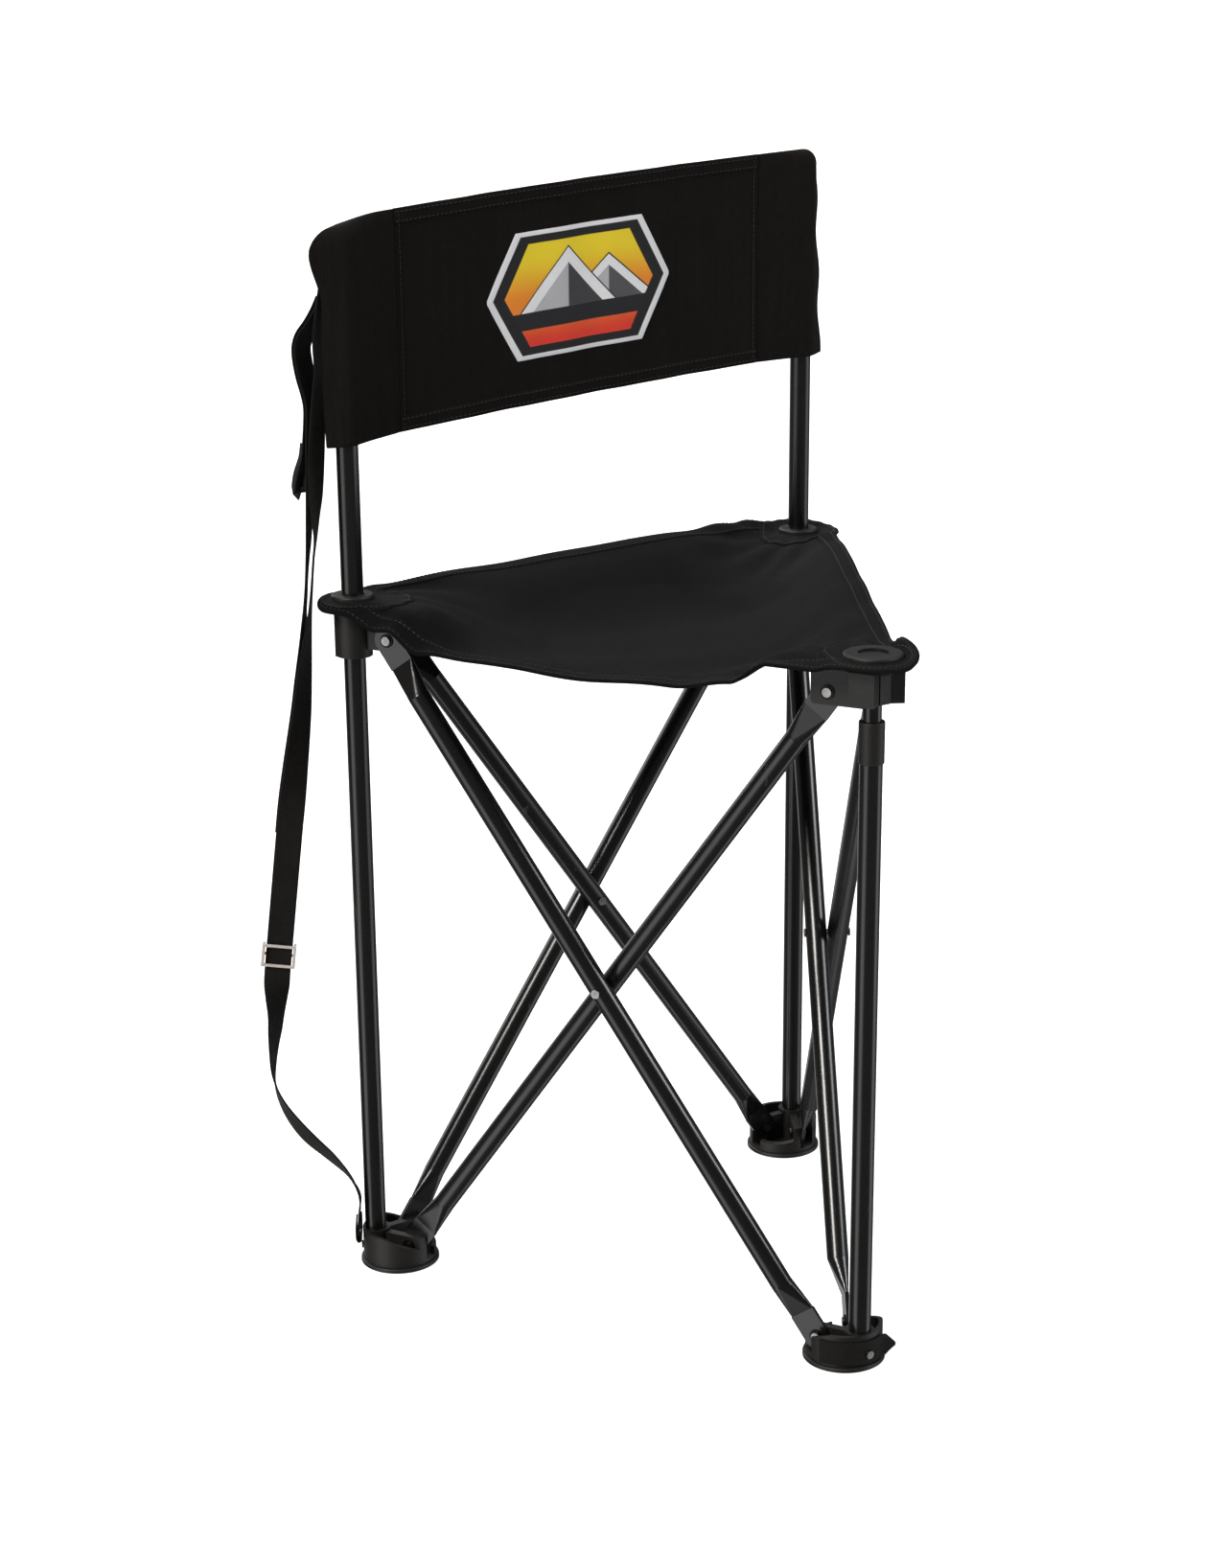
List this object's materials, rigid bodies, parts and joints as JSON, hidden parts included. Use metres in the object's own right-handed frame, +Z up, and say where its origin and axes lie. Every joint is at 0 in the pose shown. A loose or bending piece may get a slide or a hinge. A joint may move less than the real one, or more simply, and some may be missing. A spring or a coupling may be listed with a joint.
{
  "type": "folding three-leg stool",
  "caption": "Folding tripod stool with scissor-braced steel legs, a triangular sling seat, a cloth backrest and a webbing carry strap.",
  "frame": {"origin": "centre of the front foot's sole, on the floor", "axes": "+Z up along the legs; -Y is the way the sitter faces, so the front leg is at low Y and the backrest at high Y; +X is to the right of someone looking at the front"},
  "size_m": [0.5015, 0.4236, 0.807],
  "materials": {
    "painted_steel": "satin",
    "moulded_plastic": "matte",
    "rivet_steel": "satin",
    "black_washer": "satin",
    "seat_cloth": "woven",
    "backrest_cloth": "woven",
    "webbing": "woven",
    "slider_metal": "polished"
  },
  "bodies": {
    "front_leg": {"foot_front": "moulded_plastic", "foot_pin_front": "rivet_steel", "foot_rivets_front": "rivet_steel", "foot_washers_front": "black_washer", "front_tube_lower": "painted_steel", "front_tube_bush": "moulded_plastic", "closure_strap": "webbing"},
    "leg_left": {"foot_left": "moulded_plastic", "foot_pin_left": "rivet_steel", "foot_rivets_left": "rivet_steel", "foot_washers_left": "black_washer", "upright_left": "painted_steel", "upright_plug_left": "moulded_plastic", "backrest_pocket_left": "backrest_cloth", "backrest_panel": "backrest_cloth", "carry_strap": "webbing", "strap_tail": "webbing", "foot_strap_loop": "webbing"},
    "leg_right": {"foot_right": "moulded_plastic", "foot_pin_right": "rivet_steel", "foot_rivets_right": "rivet_steel", "foot_washers_right": "black_washer", "upright_right": "painted_steel", "upright_plug_right": "moulded_plastic", "backrest_pocket_right": "backrest_cloth"},
    "brace_left_outer": {"brace_left_outer": "painted_steel", "crossing_rivet_left": "rivet_steel"},
    "brace_left_inner": {"brace_left_inner": "painted_steel"},
    "brace_right_outer": {"brace_right_outer": "painted_steel", "crossing_rivet_right": "rivet_steel"},
    "brace_right_inner": {"brace_right_inner": "painted_steel"},
    "brace_rear_outer": {"brace_rear_outer": "painted_steel", "crossing_rivet_rear": "rivet_steel"},
    "brace_rear_inner": {"brace_rear_inner": "painted_steel"},
    "collar_front": {"collar_front": "moulded_plastic", "collar_rivets_front": "rivet_steel", "collar_washers_front": "black_washer", "seat_cap_front": "moulded_plastic", "front_tube_upper": "painted_steel", "seat_corner_front": "seat_cloth", "seat_panel": "seat_cloth"},
    "collar_left": {"collar_left": "moulded_plastic", "collar_rivets_left": "rivet_steel", "collar_washers_left": "black_washer", "seat_ring_left": "moulded_plastic", "seat_corner_left": "seat_cloth"},
    "collar_right": {"collar_right": "moulded_plastic", "collar_rivets_right": "rivet_steel", "collar_washers_right": "black_washer", "seat_ring_right": "moulded_plastic", "seat_corner_right": "seat_cloth"},
    "strap_slider": {"strap_slider": "slider_metal"}
  },
  "joints": [
    {"name": "fold", "type": "hinge", "parent": "front_leg", "child": "brace_left_outer", "pos_m": [-0.0155, 0.00885, 0.0175], "axis": [0.866, 0.5, 0], "range_deg": [0, 32.4], "deforming": ["seat_panel", "backrest_panel"]},
    {"name": "left_crossing", "type": "hinge", "parent": "brace_left_outer", "child": "brace_left_inner", "pos_m": [-0.1005, 0.15607, 0.25725], "axis": [-0.866, -0.5, 0], "range_deg": [0, 64.8]},
    {"name": "left_foot_pivot", "type": "hinge", "parent": "brace_left_inner", "child": "leg_left", "pos_m": [-0.1855, 0.3033, 0.0175], "axis": [0.866, 0.5, 0], "range_deg": [0, 32.4]},
    {"name": "rear_foot_pivot", "type": "hinge", "parent": "leg_left", "child": "brace_rear_outer", "pos_m": [-0.17, 0.33014, 0.0175], "axis": [0, -1, 0], "range_deg": [0, 32.4]},
    {"name": "rear_crossing", "type": "hinge", "parent": "brace_rear_outer", "child": "brace_rear_inner", "pos_m": [0, 0.33014, 0.25725], "axis": [0, 1, 0], "range_deg": [0, 64.8]},
    {"name": "right_brace_pivot", "type": "hinge", "parent": "front_leg", "child": "brace_right_inner", "pos_m": [0.0155, 0.00885, 0.0175], "axis": [0.866, -0.5, 0], "range_deg": [0, 32.4]},
    {"name": "right_crossing", "type": "hinge", "parent": "brace_right_inner", "child": "brace_right_outer", "pos_m": [0.1005, 0.15607, 0.25725], "axis": [-0.866, 0.5, 0], "range_deg": [0, 64.8]},
    {"name": "right_foot_pivot", "type": "hinge", "parent": "brace_right_outer", "child": "leg_right", "pos_m": [0.1855, 0.3033, 0.0175], "axis": [0.866, -0.5, 0], "range_deg": [0, 32.4]},
    {"name": "front_collar_pivot", "type": "hinge", "parent": "brace_left_inner", "child": "collar_front", "pos_m": [-0.0155, 0.00885, 0.497], "axis": [0.866, 0.5, 0], "range_deg": [0, 32.4]},
    {"name": "left_collar_pivot", "type": "hinge", "parent": "brace_left_outer", "child": "collar_left", "pos_m": [-0.1855, 0.3033, 0.497], "axis": [-0.866, -0.5, 0], "range_deg": [0, 32.4]},
    {"name": "right_collar_pivot", "type": "hinge", "parent": "brace_right_inner", "child": "collar_right", "pos_m": [0.1855, 0.3033, 0.497], "axis": [-0.866, 0.5, 0], "range_deg": [0, 32.4]},
    {"name": "strap_slide", "type": "slide", "parent": "leg_left", "child": "strap_slider", "axis": [-0.1069, 0.0617, -0.9924], "range_m": [-0.08, 0.005]}
  ],
  "couplings": [
    {"joint": "left_crossing", "follows": "fold", "ratio": 2},
    {"joint": "left_foot_pivot", "follows": "fold", "ratio": 1},
    {"joint": "rear_foot_pivot", "follows": "fold", "ratio": 1},
    {"joint": "rear_crossing", "follows": "fold", "ratio": 2},
    {"joint": "right_brace_pivot", "follows": "fold", "ratio": 1},
    {"joint": "right_crossing", "follows": "fold", "ratio": 2},
    {"joint": "right_foot_pivot", "follows": "fold", "ratio": 1},
    {"joint": "front_collar_pivot", "follows": "fold", "ratio": 1},
    {"joint": "left_collar_pivot", "follows": "fold", "ratio": 1},
    {"joint": "right_collar_pivot", "follows": "fold", "ratio": 1}
  ]
}
